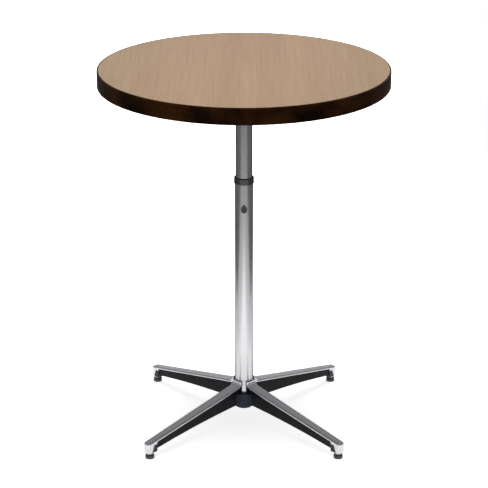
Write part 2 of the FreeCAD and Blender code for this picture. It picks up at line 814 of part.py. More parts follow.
def make_leg(place, angle):
    """Black leg: hooked over the hub, tapering outwards, with an open channel underneath."""
    body = new_body(f"leg_{place}", angle)
    side = new_sketch(body, "side", "XZ_Plane")
    corners = [
        (leg_pad_reach, leg_root_bottom),
        (leg_pad_reach, hub_top),
        (flare_back, hub_top),
        (flare_back, leg_under(flare_back)),
        (toe_start, leg_under(toe_start)),
        (toe_start, leg_end_bottom),
    ]
    draw_outline(side, corners, "leg_belly_radius")
    extrude(body, "bar", side, leg_flank_root_width, both_ways=True)
    taper_sides(body, leg_flank_root_width, leg_flank_toe_width)
    hollow = new_sketch(body, "channel_side", "XZ_Plane")
    draw_outline(hollow, [
        (channel_start, toe_bottom),
        (channel_end, toe_bottom),
        (channel_end, f"{leg_under(channel_end)} - channel_roof"),
        (channel_start, f"{leg_under(channel_start)} - channel_roof"),
    ])
    extrude(body, "channel", hollow, "channel_width", "PartDesign::Pocket", both_ways=True)
    drill(body, "root_thread", "YZ_Plane", "0", ("0", leg_bolt_height), "leg_bolt_diameter / 2 + seat_fit",
          f"{leg_pad_reach} + leg_bolt_bite + hole_fit")
    drill(body, "toe_screw_hole", "YZ_Plane", channel_end, ("0", toe_screw_height),
          "toe_screw_diameter / 2 + hole_fit", "channel_end_wall")
    return body


def make_leg_cap(place, angle):
    """Polished strip along a leg's top, flared up at the column and turned down into the toe."""
    body = new_body(f"leg_cap_{place}", angle)
    side = new_sketch(body, "side", "XZ_Plane")
    flare_top = f"({leg_top_at_column} + flare_rise)"
    draw_outline(side, [
        (toe_start, toe_bottom),
        ("leg_reach", toe_bottom),
        ("leg_reach", leg_top_at_toe),
        (flare_face, leg_top_at_column),
        (flare_face, flare_top),
        (flare_back, flare_top),
        (flare_back, leg_under(flare_back)),
        (toe_start, leg_under(toe_start)),
    ])
    extrude(body, "strip", side, "leg_root_width", both_ways=True)
    round_edges(body, "flare", f"flare_rise * {FLARE_ROUND_SHARE}",
                lambda edge: crosses_at(edge, flare_face, leg_top_at_column))
    taper_sides(body, "leg_root_width", "leg_toe_width")
    toe_half = number("leg_toe_width / 2")

    def at_toe_corner(edge):
        box = edge.BoundBox
        upright = near(box.XLength, 0) and near(box.YLength, 0)
        return upright and near(box.XMin, number("leg_reach")) and near(abs(box.YMin), toe_half)

    def on_crown(edge):
        on_top = all(near(corner.Z, number(leg_top(str(corner.X)))) for corner in edge.Vertexes)
        inner_end = near(edge.BoundBox.XLength, 0) and edge.BoundBox.XMax < number(toe_start)
        return on_top and not inner_end

    round_edges(body, "toe_corners", "(leg_toe_width - toe_front_width) / 2", at_toe_corner)
    round_edges(body, "crown", f"cap_thickness * {CROWN_ROUND_SHARE}", on_crown)
    foot = (glide_radius, "0")
    drill(body, "socket_hole", "XY_Plane", toe_bottom, foot, "glide_socket_diameter / 2 + seat_fit",
          "glide_socket_length")
    drill(body, "stem_hole", "XY_Plane", toe_bottom, foot, "glide_stem_diameter / 2 + hole_fit",
          f"{stem_top} + glide_stem_room - {toe_bottom}")
    drill(body, "toe_thread", "YZ_Plane", toe_start, ("0", toe_screw_height),
          "toe_screw_diameter / 2 + seat_fit", "toe_screw_bite + hole_fit")
    return body


def make_leg_bolts():
    """Socket-head bolts from inside the hub into the legs."""
    head = ("round", "leg_bolt_head_diameter", "leg_bolt_head_height")
    length = "leg_bolt_wall_thickness + leg_bolt_bite"
    return group("leg_bolts", [
        bolt(f"leg_bolt_{place}", head, "leg_bolt_diameter / 2", length,
             spot_round(leg_bolt_seat, leg_bolt_height, angle, OUTWARDS))
        for place, angle in LEG_ANGLES.items()])


def make_toe_screws():
    """Screws from each leg's channel into its polished toe."""
    head = ("round", "toe_screw_head_diameter", "toe_screw_head_height")
    length = "channel_end_wall + toe_screw_bite"
    return group("toe_screws", [
        bolt(f"toe_screw_{place}", head, "toe_screw_diameter / 2", length,
             spot_round(channel_end, toe_screw_height, angle, OUTWARDS))
        for place, angle in LEG_ANGLES.items()])


def make_glide_sockets():
    """Threaded inserts in the toes."""
    inserts = []
    for place, angle in LEG_ANGLES.items():
        spot = spot_round(glide_radius, toe_bottom, angle)
        insert = doc.addObject("Part::Cut", f"glide_socket_{place}")
        insert.Base = cylinder(f"socket_wall_{place}", "glide_socket_diameter / 2",
                               "glide_socket_length", spot)
        insert.Tool = cylinder(f"socket_bore_{place}", "glide_stem_diameter / 2 + thread_fit",
                               "glide_socket_length", spot)
        inserts.append(insert)
    return group("glide_sockets", inserts)


def make_glide(place, angle):
    """Nylon pad and its threaded stem with a nut to turn it by."""
    pad = new_body(f"glide_pad_{place}")
    pad.Placement = spot_round(glide_radius, "0", angle)
    hole = "(glide_stem_diameter / 2 + seat_fit)"
    sink_floor = "(glide_pad_height - glide_stem_sink)"
    turn(pad, "foot", [
        ("0", "0"),
        ("glide_pad_diameter / 2", "0"),
        ("glide_pad_diameter / 2", "glide_pad_height"),
        (hole, "glide_pad_height"),
        (hole, sink_floor),
        ("0", sink_floor),
    ])
    round_edges(pad, "brow", "glide_pad_round",
                lambda edge: is_ring(edge, "glide_pad_diameter / 2", "glide_pad_height"))
    nut_spot = spot_round(glide_radius, "glide_pad_height", angle)
    nut = hexagon(f"glide_nut_{place}", "glide_nut_width", "glide_nut_height", nut_spot)
    rod_spot = spot_round(glide_radius, sink_floor, angle)
    rod = cylinder(f"glide_rod_{place}", "glide_stem_diameter / 2", "glide_stem_length", rod_spot)
    return [pad, joined(f"glide_stem_{place}", nut, rod)]


def make_all():
    """Every piece of the table, from the top down."""
    pieces = [
        make_top_laminate(),
        make_core_panel(),
        make_backing_sheet(),
        make_edge_doubler(),
        make_edge_band(),
        make_mounting_spider(),
        make_spider_screws(),
        make_top_flange(),
        make_flange_bolts(),
        make_inner_tube(),
        make_lower_guide(),
        make_outer_tube(),
        make_guide_bushing(),
        make_lock_boss(),
        make_brake_pad(),
        make_lock_stud(),
        make_lock_knob(),
        make_foot_plug(),
        make_hub(),
        make_leg_bolts(),
        make_toe_screws(),
        make_glide_sockets(),
    ]
    pieces += make_tie_pieces()
    for place, angle in LEG_ANGLES.items():
        pieces += [make_leg(place, angle), make_leg_cap(place, angle)]
        pieces += make_glide(place, angle)
    return pieces


def check_document(pieces):
    """Stop if any object failed to build or any piece is not a valid shape."""
    for item in doc.Objects:
        if {"Invalid", "Error"} & set(item.State):
            raise RuntimeError(f"{item.Label} failed to build")
    for piece in pieces:
        if piece.Shape.isNull() or not piece.Shape.isValid():
            raise RuntimeError(f"{piece.Label} is not a valid shape")


pieces = make_all()
doc.recompute()
check_document(pieces)
os.makedirs("parts", exist_ok=True)
for piece in pieces:
    piece.Shape.exportStep(f"parts/{piece.Label}.step")
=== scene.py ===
"""Finishes, fasteners and studio of a round table on a telescoping column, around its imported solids."""

import math

import bmesh
import bpy
from bpy.props import FloatProperty, FloatVectorProperty, IntProperty, PointerProperty
from mathutils import Matrix, Vector


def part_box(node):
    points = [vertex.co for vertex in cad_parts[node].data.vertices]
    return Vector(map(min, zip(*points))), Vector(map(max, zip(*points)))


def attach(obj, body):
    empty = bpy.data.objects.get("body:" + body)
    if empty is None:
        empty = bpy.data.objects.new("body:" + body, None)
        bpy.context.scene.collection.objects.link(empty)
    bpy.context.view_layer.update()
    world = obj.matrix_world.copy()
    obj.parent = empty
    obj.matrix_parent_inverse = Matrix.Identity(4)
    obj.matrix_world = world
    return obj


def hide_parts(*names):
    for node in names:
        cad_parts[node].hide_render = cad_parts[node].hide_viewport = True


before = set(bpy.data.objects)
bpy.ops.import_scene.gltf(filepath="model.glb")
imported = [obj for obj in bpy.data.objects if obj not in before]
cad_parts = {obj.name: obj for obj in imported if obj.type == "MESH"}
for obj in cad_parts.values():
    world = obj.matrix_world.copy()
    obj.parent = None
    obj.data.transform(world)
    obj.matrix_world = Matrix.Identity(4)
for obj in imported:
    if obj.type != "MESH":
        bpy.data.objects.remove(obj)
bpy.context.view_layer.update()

bl_info = {
    "name": "Pedestal table",
    "version": (1, 0, 0),
    "blender": (4, 5, 0),
    "location": "3D View > Sidebar > Table",
    "description": "Gives a telescoping pedestal table its finishes, detailed fasteners and studio",
    "category": "Object",
}

MM = 0.001
FULL_TURN = 2 * math.pi
LEG_PLACES = ("rear_right", "rear_left", "front_left", "front_right")
WELD_DISTANCE = MM / 1000
SMOOTH_ANGLE = math.radians(32)

# Likeness of the rounded normal to the face's own where wear starts and is full.
WEAR_START = 0.98
WEAR_FULL = 0.8


def linear(level):
    """Linear light of an 8-bit screen level."""
    share = level / 255
    return share / 12.92 if share <= 0.04045 else ((share + 0.055) / 1.055) ** 2.4


def colour_property(name, description, *levels):
    """Colour that the user can change, from its red, green and blue screen levels."""
    return FloatVectorProperty(name=name, description=description, subtype="COLOR", size=3, min=0, max=1,
                               default=[linear(level) for level in levels])


def number_property(name, description, default, **limits):
    """Number that the user can change."""
    return FloatProperty(name=name, description=description, default=default, **limits)


def length_property(name, description, default):
    """Length in metres that the user can change."""
    return number_property(name, description, default, unit="LENGTH", subtype="DISTANCE", min=0)


def offset_property(name, description, default):
    """Length in metres that may be negative."""
    return number_property(name, description, default, unit="LENGTH", subtype="DISTANCE")


def angle_property(name, description, degrees):
    """Angle that the user can change."""
    return number_property(name, description, math.radians(degrees), subtype="ANGLE")


def share_property(name, description, default, high=1):
    """Share of a whole that the user can change."""
    return number_property(name, description, default, subtype="FACTOR", min=0, max=high)


class TopFinish(bpy.types.PropertyGroup):
    """Colours of the table top."""

    laminate_light: colour_property("Laminate light", "Pale bands of the wood grain", 179, 151, 122)
    laminate_dark: colour_property("Laminate dark", "Darker bands of the wood grain", 164, 136, 108)
    laminate_grain: colour_property("Laminate grain", "Fine lines of the wood grain", 140, 114, 89)
    edge_light: colour_property("Edge light", "Paler streaks of the edge band", 78, 44, 18)
    edge_dark: colour_property("Edge dark", "Ground colour of the edge band", 15, 6, 3)
    board_light: colour_property("Board light", "Pale chips of the pressed board", 186, 156, 118)
    board_dark: colour_property("Board dark", "Dark chips of the pressed board", 146, 113, 79)
    backing_light: colour_property("Backing light", "Pale fibres of the backing sheet", 74, 60, 50)
    backing_dark: colour_property("Backing dark", "Ground colour of the backing sheet", 50, 39, 32)


class MetalFinish(bpy.types.PropertyGroup):
    """Colours of the column, legs, mouldings and fasteners, and the reach of the toes' coat."""

    column: colour_property("Column", "Bright plating of both tubes", 225, 225, 227)
    column_haze: colour_property("Column haze", "Faint draw lines in the plating", 204, 205, 208)
    column_edge: colour_property("Column edge", "Plating seen at a glancing angle", 70, 70, 72)
    strip: colour_property("Leg strip", "Polished caps of the legs", 226, 227, 230)
    strip_line: colour_property("Leg strip lines", "Polishing lines along the caps", 196, 197, 201)
    coat_reach: length_property("Coat reach", "How far the toes' coat reaches at the floor", 331 * MM)
    coat_slant: number_property("Coat slant", "How far it draws back for each unit of height", 0.37, min=0)
    coat_top: length_property("Coat top", "Height up to which the toes' flanks are coated", 35 * MM)
    paint: colour_property("Black coat", "Satin coat of the legs and the spider", 20, 22, 27)
    hub: colour_property("Hub coat", "Satin coat of the hub", 68, 76, 88)
    paint_worn: colour_property("Worn coat", "Coat where its edges are rubbed", 48, 49, 53)
    collar: colour_property("Collar", "Collar at the mouth of the lower tube", 124, 124, 125)
    collar_rubbed: colour_property("Rubbed collar", "Collar with rubbed edges", 140, 140, 141)
    nylon: colour_property("Nylon", "Moulded guides and caps", 26, 26, 27)
    nylon_rubbed: colour_property("Rubbed nylon", "Nylon where the tube rubs it", 50, 50, 51)
    knob: colour_property("Knob", "Moulded lock knob", 84, 83, 83)
    knob_rubbed: colour_property("Rubbed knob", "Knob where fingers rub it", 98, 97, 96)
    glide: colour_property("Glide", "Moulded glide pads", 70, 70, 72)
    glide_scuffed: colour_property("Scuffed glide", "Glide pads with scuffs", 112, 111, 109)
    zinc: colour_property("Zinc", "Plated steel of the fasteners", 198, 199, 198)
    zinc_dull: colour_property("Dull zinc", "Duller spots of the plating", 160, 158, 150)
    brass: colour_property("Brass", "Threaded sockets of the glides", 214, 178, 104)
    brass_dull: colour_property("Dull brass", "Tarnish on the sockets", 168, 132, 70)
    dust: colour_property("Dust", "Dust that settles near the floor", 150, 147, 142)


class FastenerSizes(bpy.types.PropertyGroup):
    """Sizes of the screws, bolts and threads that their solids leave plain."""

    recess_reach: length_property("Recess reach", "Half length of the cross recess", 2.7 * MM)
    recess_width: length_property("Recess width", "Half width of an arm of the cross recess", 0.62 * MM)
    recess_depth: length_property("Recess depth", "Depth of the cross recess", 1.5 * MM)
    wood_head_height: length_property("Wood screw head", "Height of the pan heads", 3 * MM)
    wood_shank: length_property("Wood screw shank", "Diameter of the wood screws", 5 * MM)
    bolt_head_height: length_property("Bolt head", "Height of the hexagon heads", 5.5 * MM)
    bolt_width: length_property("Bolt width", "Hexagon heads across their flats", 13 * MM)
    bolt_shank: length_property("Bolt shank", "Diameter of the hexagon bolts", 8 * MM)
    toe_head: length_property("Toe screw head", "Diameter of the toe screws' heads", 7 * MM)
    toe_head_height: length_property("Toe screw head height", "Height of the toe screws' heads", 4 * MM)
    toe_shank: length_property("Toe screw shank", "Diameter of the toe screws", 4 * MM)
    toe_socket: length_property("Toe screw socket", "Toe screws' sockets across their flats", 3 * MM)
    nut_width: length_property("Nut width", "Glide nuts across their flats", 13 * MM)
    nut_height: length_property("Nut height", "Height of the glide nuts", 6.5 * MM)
    thread_diameter: length_property("Thread", "Outside diameter of the glide threads", 8 * MM)
    thread_depth: length_property("Thread depth", "Depth of the glide threads", 0.62 * MM)
    thread_pitch: length_property("Thread pitch", "Rise of the glide threads in one turn", 1.25 * MM)
    segments: IntProperty(name="Segments", description="Sides of each turned fastener", default=96, min=24)


class StudioSettings(bpy.types.PropertyGroup):
    """Camera, lamps, floor and walls."""

    camera_back: length_property("Camera back", "Distance of the camera in front of the column", 4.414)
    camera_height: length_property("Camera height", "Height of the camera above the floor", 2.0825)
    camera_pitch: angle_property("Camera pitch", "How far the camera looks down", 20.09)
    camera_lens: number_property("Lens", "Focal length in millimetres on a 36 mm sensor", 141.2, min=10)
    floor_side: length_property("Floor side", "How far the floor reaches to each side of the column", 0.88)
    floor_widening: number_property("Floor widening", "How much further for each metre in front", 0.36, min=0)
    floor_front: length_property("Floor front", "How far the floor reaches in front of the column", 3.0)
    floor_back: length_property("Floor back", "How far the floor reaches behind the column", 5.5)
    floor: colour_property("Floor", "Pale floor", 250, 250, 250)
    floor_trace: colour_property("Floor trace", "Faint unevenness of the floor", 246, 246, 246)
    shadow_reach: length_property("Shadow reach", "How far the floor shows the table's shadow", 0.7)
    shadow_glow: share_property("Shadow glow", "How much the floor is whitened within the shadow", 0.72)
    # The mirrored glow and its reach below make a painted pool of light on the floor, seen only in gloss.
    mirrored_glow: share_property("Mirrored glow", "How much whitening shows in gloss", 0.51)
    glow_front: length_property("Glow front", "How far it reaches in front of the column", 1.6)
    glow_side: length_property("Glow side", "How far it reaches to each side", 0.62)
    glow_widening: number_property("Glow widening", "How much further for each metre behind", 0.25, min=0)
    glow_core: share_property("Glow core", "Share of it that is fully white", 0.55, high=0.99)
    backdrop: colour_property("Backdrop", "White where the studio is seen directly", 255, 255, 255)
    ground: colour_property("Ground", "Dark studio beside the pale floor", 100, 100, 101)
    horizon: colour_property("Horizon", "Grey of the studio's walls low down", 181, 181, 182)
    surround: colour_property("Surround", "Grey of the studio above", 140, 140, 141)
    wall_rise: share_property("Wall rise", "Share of the way up where that grey starts", 0.5)
    key_power: number_property("Key power", "Power of the soft box over the table, in watts", 12.8, min=0)
    key_width: length_property("Key width", "Width of the soft box over the table", 1.6)
    key_length: length_property("Key length", "Length of the soft box over the table", 2.4)
    key_back: offset_property("Key back", "How far its middle is behind the column", 0.05)
    sweep_power: number_property("Sweep power", "Power of the soft box over the floor behind", 42, min=0)
    sweep_width: length_property("Sweep width", "Width of the soft box over the floor behind", 3.0)
    sweep_length: length_property("Sweep length", "Length of the soft box over the floor behind", 4.0)
    sweep_back: offset_property("Sweep back", "How far its middle is behind the column", 3.8)
    box_height: length_property("Soft box height", "Height of both soft boxes", 3.2)
    box_spread: angle_property("Soft box spread", "Opening angle of the soft boxes' grids", 55)


def feed(tree, socket, value):
    """Link an output to the socket, or set the socket's value."""
    if isinstance(value, bpy.types.NodeSocket):
        tree.links.new(value, socket)
    elif socket.type == "RGBA" and len(value) == 3:
        socket.default_value = (*value, 1)
    else:
        socket.default_value = value


def add_node(tree, kind, inputs=None, **settings):
    """New node with its settings and its inputs, by socket name or number."""
    made = tree.nodes.new(kind)
    for name, value in settings.items():
        setattr(made, name, value)
    for socket, value in (inputs or {}).items():
        feed(tree, made.inputs[socket], value)
    return made


def arithmetic(tree, operation, first, second, clamp=False):
    """Result of a sum on two values."""
    return add_node(tree, "ShaderNodeMath", {0: first, 1: second}, operation=operation,
                    use_clamp=clamp).outputs[0]


def ramp(tree, value, start, end, low=0.0, high=1.0, smooth=False):
    """Value that runs from low at the start to high at the end, and no further."""
    return add_node(tree, "ShaderNodeMapRange",
                    {"Value": value, "From Min": start, "From Max": end, "To Min": low, "To Max": high},
                    interpolation_type="SMOOTHSTEP" if smooth else "LINEAR").outputs[0]


def between(tree, mask, low, high):
    """Value that runs from low to high with the mask."""
    return ramp(tree, mask, 0.0, 1.0, low, high)


def object_place(tree):
    """Place in the object's own frame."""
    return add_node(tree, "ShaderNodeTexCoord").outputs["Object"]


def along_axes(tree, vector):
    """Outputs X, Y and Z of a vector."""
    return add_node(tree, "ShaderNodeSeparateXYZ", {0: vector}).outputs


def length_of(tree, vector):
    """Length of a vector."""
    return add_node(tree, "ShaderNodeVectorMath", {0: vector}, operation="LENGTH").outputs["Value"]


def scaled(tree, vector, factors):
    """Vector times a factor for each axis."""
    return add_node(tree, "ShaderNodeVectorMath", {0: vector, 1: factors}, operation="MULTIPLY").outputs[0]


def noise(tree, place, scale, detail):
    """Noise value about 0.5."""
    inputs = {"Vector": place, "Scale": scale, "Detail": detail}
    return add_node(tree, "ShaderNodeTexNoise", inputs).outputs["Fac"]


def mixed(tree, mask, first, second):
    """Colour that runs from the first to the second with the mask."""
    made = add_node(tree, "ShaderNodeMix", data_type="RGBA")
    colours = [socket for socket in made.inputs if socket.type == "RGBA"]
    feed(tree, made.inputs[0], mask)
    feed(tree, colours[0], first)
    feed(tree, colours[1], second)
    return next(socket for socket in made.outputs if socket.type == "RGBA")


def bumped(tree, height, strength, depth, normal=None):
    """Normal with relief of the given depth in metres."""
    made = add_node(tree, "ShaderNodeBump", {"Height": height, "Strength": strength, "Distance": depth})
    if normal:
        feed(tree, made.inputs["Normal"], normal)
    return made.outputs[0]


def sharpened(tree, value, contrast):
    """Noise value spread about its middle and kept from 0 to 1."""
    centred = arithmetic(tree, "SUBTRACT", value, 0.5)
    return arithmetic(tree, "ADD", arithmetic(tree, "MULTIPLY", centred, contrast), 0.5, clamp=True)


def new_group(name, inputs, outputs):
    """Empty shader group with sockets of the defaults' kinds, and its input and output nodes."""
    tree = bpy.data.node_groups.new(name, "ShaderNodeTree")
    for way, sockets in (("INPUT", inputs), ("OUTPUT", outputs)):
        for label, default in sockets.items():
            kind = "NodeSocketVector" if isinstance(default, tuple) else "NodeSocketFloat"
            tree.interface.new_socket(label, in_out=way, socket_type=kind).default_value = default
    return tree, tree.nodes.new("NodeGroupInput").outputs, tree.nodes.new("NodeGroupOutput").inputs


def build_streaks():
    """Long streaks, as grain, draw lines and polishing lines have."""
    tree, given, result = new_group("streaks", {"Stretch": (1, 1, 1), "Turn": 0, "Contrast": 1}, {"Mask": 0})
    turn = {"Vector": object_place(tree), "Angle": given["Turn"]}
    turned = add_node(tree, "ShaderNodeVectorRotate", turn, rotation_type="Z_AXIS").outputs[0]
    lines = noise(tree, scaled(tree, turned, given["Stretch"]), scale=1, detail=4)
    feed(tree, result["Mask"], sharpened(tree, lines, given["Contrast"]))
    return tree


def build_mottle():
    """Even mottling, as a coat, a moulding or plating has."""
    tree, given, result = new_group("mottle", {"Scale": 100, "Contrast": 1}, {"Mask": 0})
    spots = noise(tree, object_place(tree), given["Scale"], detail=3)
    feed(tree, result["Mask"], sharpened(tree, spots, given["Contrast"]))
    return tree


def build_eased_edges():
    """Softly rounded edges, and a mask of where they are rubbed."""
    tree, given, result = new_group("eased_edges", {"Radius": 0.5 * MM}, {"Normal": (0, 0, 0), "Wear": 0})
    eased = add_node(tree, "ShaderNodeBevel", {"Radius": given["Radius"]}, samples=4).outputs[0]
    face = add_node(tree, "ShaderNodeNewGeometry").outputs["True Normal"]
    likeness = add_node(tree, "ShaderNodeVectorMath", {0: eased, 1: face},
                        operation="DOT_PRODUCT").outputs["Value"]
    edge = ramp(tree, likeness, WEAR_START, WEAR_FULL)
    rubs = sharpened(tree, noise(tree, object_place(tree), scale=55, detail=2), contrast=3.0)
    feed(tree, result["Normal"], eased)
    feed(tree, result["Wear"], arithmetic(tree, "MULTIPLY", edge, rubs))
    return tree


def build_floor_dust():
    """Dust that lies thickest near the floor."""
    tree, given, result = new_group("floor_dust", {"Reach": 0.1, "Amount": 0.3}, {"Mask": 0})
    place = object_place(tree)
    nearness = ramp(tree, along_axes(tree, place)["Z"], 0.0, given["Reach"], low=1.0, high=0.0)
    specks = sharpened(tree, noise(tree, place, scale=180, detail=5), contrast=2.5)
    patchy = arithmetic(tree, "MULTIPLY", nearness, specks)
    feed(tree, result["Mask"], arithmetic(tree, "MULTIPLY", patchy, given["Amount"]))
    return tree


def build_flank_coat():
    """Black coat on the flanks of the toes, below the strip and behind the nose."""
    tree, given, result = new_group("flank_coat", {"Reach": 0.3, "Slant": 0.4, "Top": 0.03}, {"Mask": 0})
    place = object_place(tree)
    away = length_of(tree, scaled(tree, place, (1, 1, 0)))
    height = along_axes(tree, place)["Z"]
    slanted = arithmetic(tree, "ADD", away, arithmetic(tree, "MULTIPLY", height, given["Slant"]))
    behind = arithmetic(tree, "LESS_THAN", slanted, given["Reach"])
    below = arithmetic(tree, "LESS_THAN", height, given["Top"])
    feed(tree, result["Mask"], arithmetic(tree, "MULTIPLY", behind, below))
    return tree


GROUP_BUILDERS = {"streaks": build_streaks, "mottle": build_mottle, "eased_edges": build_eased_edges,
                  "floor_dust": build_floor_dust, "flank_coat": build_flank_coat}


def effect(tree, name, **values):
    """Outputs of a shared group placed in a material, with its values."""
    shared = bpy.data.node_groups.get(name) or GROUP_BUILDERS[name]()
    inputs = {label.capitalize(): value for label, value in values.items()}
    return add_node(tree, "ShaderNodeGroup", inputs, node_tree=shared).outputs


def streaks(tree, stretch, contrast, turn=0.0):
    """Mask of long streaks."""
    return effect(tree, "streaks", stretch=stretch, contrast=contrast, turn=turn)["Mask"]


def mottle(tree, scale, contrast):
    """Mask of even mottling."""
    return effect(tree, "mottle", scale=scale, contrast=contrast)["Mask"]


def floor_dust(tree, reach, amount):
    """Mask of dust near the floor."""
    return effect(tree, "floor_dust", reach=reach, amount=amount)["Mask"]


def flank_coat(tree, colours):
    """Mask of the black coat on the flanks of the toes."""
    return effect(tree, "flank_coat", reach=colours.coat_reach, slant=colours.coat_slant,
                  top=colours.coat_top)["Mask"]


def eased_edges(tree, radius):
    """Normal of softly rounded edges, and the mask of their wear."""
    outputs = effect(tree, "eased_edges", radius=radius)
    return outputs["Normal"], outputs["Wear"]


def new_finish(name, build):
    """Material of that name, built once on a fresh surface shader."""
    material = bpy.data.materials.get(name)
    if material is None:
        material = bpy.data.materials.new(name)
        material.use_nodes = True
        tree = material.node_tree
        shader = next(node for node in tree.nodes if node.type == "BSDF_PRINCIPLED")
        for socket, value in build(tree).items():
            feed(tree, shader.inputs[socket], value)
    return material


def laminate_finish(colours):
    """Satin wood-grain sheet, its grain from front to back."""
    def build(tree):
        bands = streaks(tree, stretch=(13, 0.7, 13), contrast=2.2)
        lines = streaks(tree, stretch=(210, 4, 210), contrast=2.4)
        pores = streaks(tree, stretch=(1300, 34, 1300), contrast=3.2)
        ground = mixed(tree, bands, colours.laminate_dark, colours.laminate_light)
        grain = mixed(tree, between(tree, lines, 0, 0.34), ground, colours.laminate_grain)
        pored = mixed(tree, between(tree, pores, 0, 0.16), grain, colours.laminate_grain)
        return {"Base Color": pored, "Roughness": between(tree, lines, 0.36, 0.46),
                "Normal": bumped(tree, pores, strength=0.12, depth=0.1 * MM)}
    return new_finish("wood_grain_sheet", build)


def edge_finish(colours):
    """Satin dark-brown band with fine streaks round the rim."""
    def build(tree):
        lines = streaks(tree, stretch=(3, 3, 620), contrast=2.2)
        tones = mottle(tree, scale=12, contrast=3.4)
        specks = mottle(tree, scale=420, contrast=2.0)
        normal, _ = eased_edges(tree, radius=0.5 * MM)
        shade = arithmetic(tree, "MULTIPLY", tones, between(tree, lines, 0.5, 1.0))
        return {"Base Color": mixed(tree, shade, colours.edge_dark, colours.edge_light),
                "Roughness": between(tree, specks, 0.28, 0.38), "Specular IOR Level": 0.05,
                "Normal": bumped(tree, lines, strength=0.1, depth=0.08 * MM, normal=normal)}
    return new_finish("dark_edge_band", build)


def board_finish(colours):
    """Raw pressed board of flat chips."""
    def build(tree):
        pattern = {"Vector": object_place(tree), "Scale": 520}
        chips = add_node(tree, "ShaderNodeTexVoronoi", pattern).outputs["Color"]
        tone = add_node(tree, "ShaderNodeSeparateColor", {0: chips}).outputs[0]
        fibres = mottle(tree, scale=900, contrast=2.2)
        chipped = mixed(tree, tone, colours.board_dark, colours.board_light)
        return {"Base Color": mixed(tree, between(tree, fibres, 0, 0.35), chipped, colours.board_dark),
                "Roughness": between(tree, fibres, 0.72, 0.9),
                "Normal": bumped(tree, tone, strength=0.3, depth=0.25 * MM)}
    return new_finish("pressed_board", build)


def backing_finish(colours):
    """Matt brown backing sheet with short fibres."""
    def build(tree):
        fibres = streaks(tree, stretch=(240, 90, 240), contrast=2.6)
        blotches = mottle(tree, scale=16, contrast=1.8)
        shade = arithmetic(tree, "MULTIPLY", fibres, between(tree, blotches, 0.4, 1.0))
        return {"Base Color": mixed(tree, shade, colours.backing_dark, colours.backing_light),
                "Roughness": between(tree, fibres, 0.55, 0.7),
                "Normal": bumped(tree, fibres, strength=0.15, depth=0.1 * MM)}
    return new_finish("brown_backing", build)


def column_finish(colours):
    """Bright plating with faint draw lines up the tube."""
    def build(tree):
        lines = streaks(tree, stretch=(900, 900, 5), contrast=2.0)
        haze = mottle(tree, scale=22, contrast=2.0)
        drawn = between(tree, lines, 0.17, 0.23)
        return {"Base Color": mixed(tree, between(tree, lines, 0, 0.5), colours.column, colours.column_haze),
                "Metallic": 1.0, "Specular Tint": (*colours.column_edge, 1),
                "Roughness": arithmetic(tree, "ADD", drawn, between(tree, haze, 0, 0.05)),
                "Normal": bumped(tree, lines, strength=0.04, depth=0.05 * MM)}
    return new_finish("bright_plating", build)


def strip_finish(colours, place, turn):
    """Polished cap with polishing lines along its leg and a black coat on its toe's flanks."""
    def build(tree):
        lines = streaks(tree, stretch=(3, 420, 3), contrast=1.6, turn=-turn)
        haze = mottle(tree, scale=40, contrast=2.0)
        normal, wear = eased_edges(tree, radius=0.9 * MM)
        brushed = mixed(tree, between(tree, lines, 0, 0.5), colours.strip, colours.strip_line)
        dusty = mixed(tree, floor_dust(tree, reach=0.03, amount=0.08), brushed, colours.dust)
        coated = flank_coat(tree, colours)
        rough = arithmetic(tree, "ADD", between(tree, lines, 0.17, 0.22), between(tree, haze, 0, 0.04))
        polished = arithmetic(tree, "SUBTRACT", rough, between(tree, wear, 0, 0.05))
        satin = arithmetic(tree, "MULTIPLY", coated, 0.46)
        return {"Base Color": mixed(tree, coated, dusty, colours.paint),
                "Metallic": arithmetic(tree, "SUBTRACT", 1.0, coated),
                "Roughness": arithmetic(tree, "MAXIMUM", polished, satin),
                "Normal": bumped(tree, lines, strength=0.02, depth=0.03 * MM, normal=normal)}
    return new_finish(f"polished_strip_{place}", build)


def coat_finish(colours, name, ground):
    """Satin coat with a fine orange peel, rubbed at its edges and dusty near the floor."""
    def build(tree):
        peel = mottle(tree, scale=950, contrast=1.8)
        clouds = mottle(tree, scale=30, contrast=2.0)
        normal, wear = eased_edges(tree, radius=0.8 * MM)
        rubbed = mixed(tree, between(tree, wear, 0, 0.5), ground, colours.paint_worn)
        dusty = mixed(tree, floor_dust(tree, reach=0.07, amount=0.1), rubbed, colours.dust)
        return {"Base Color": dusty, "Specular IOR Level": 0.14,
                "Roughness": between(tree, clouds, 0.4, 0.52),
                "Normal": bumped(tree, peel, strength=0.1, depth=0.1 * MM, normal=normal)}
    return new_finish(name, build)


def moulded_finish(name, ground, rubbed, roughness, dust=None):
    """Moulded plastic with a fine grain, rubbed at its edges and dusty if dust is given."""
    def build(tree):
        grain = mottle(tree, scale=1600, contrast=2.0)
        clouds = mottle(tree, scale=120, contrast=1.6)
        normal, wear = eased_edges(tree, radius=0.4 * MM)
        paler = arithmetic(tree, "MAXIMUM", between(tree, wear, 0, 0.7), between(tree, clouds, 0, 0.22))
        colour = mixed(tree, paler, ground, rubbed)
        if dust:
            colour = mixed(tree, floor_dust(tree, reach=0.012, amount=0.5), colour, dust)
        return {"Base Color": colour, "Roughness": between(tree, clouds, roughness - 0.05, roughness + 0.06),
                "Normal": bumped(tree, grain, strength=0.12, depth=0.08 * MM, normal=normal)}
    return new_finish(name, build)


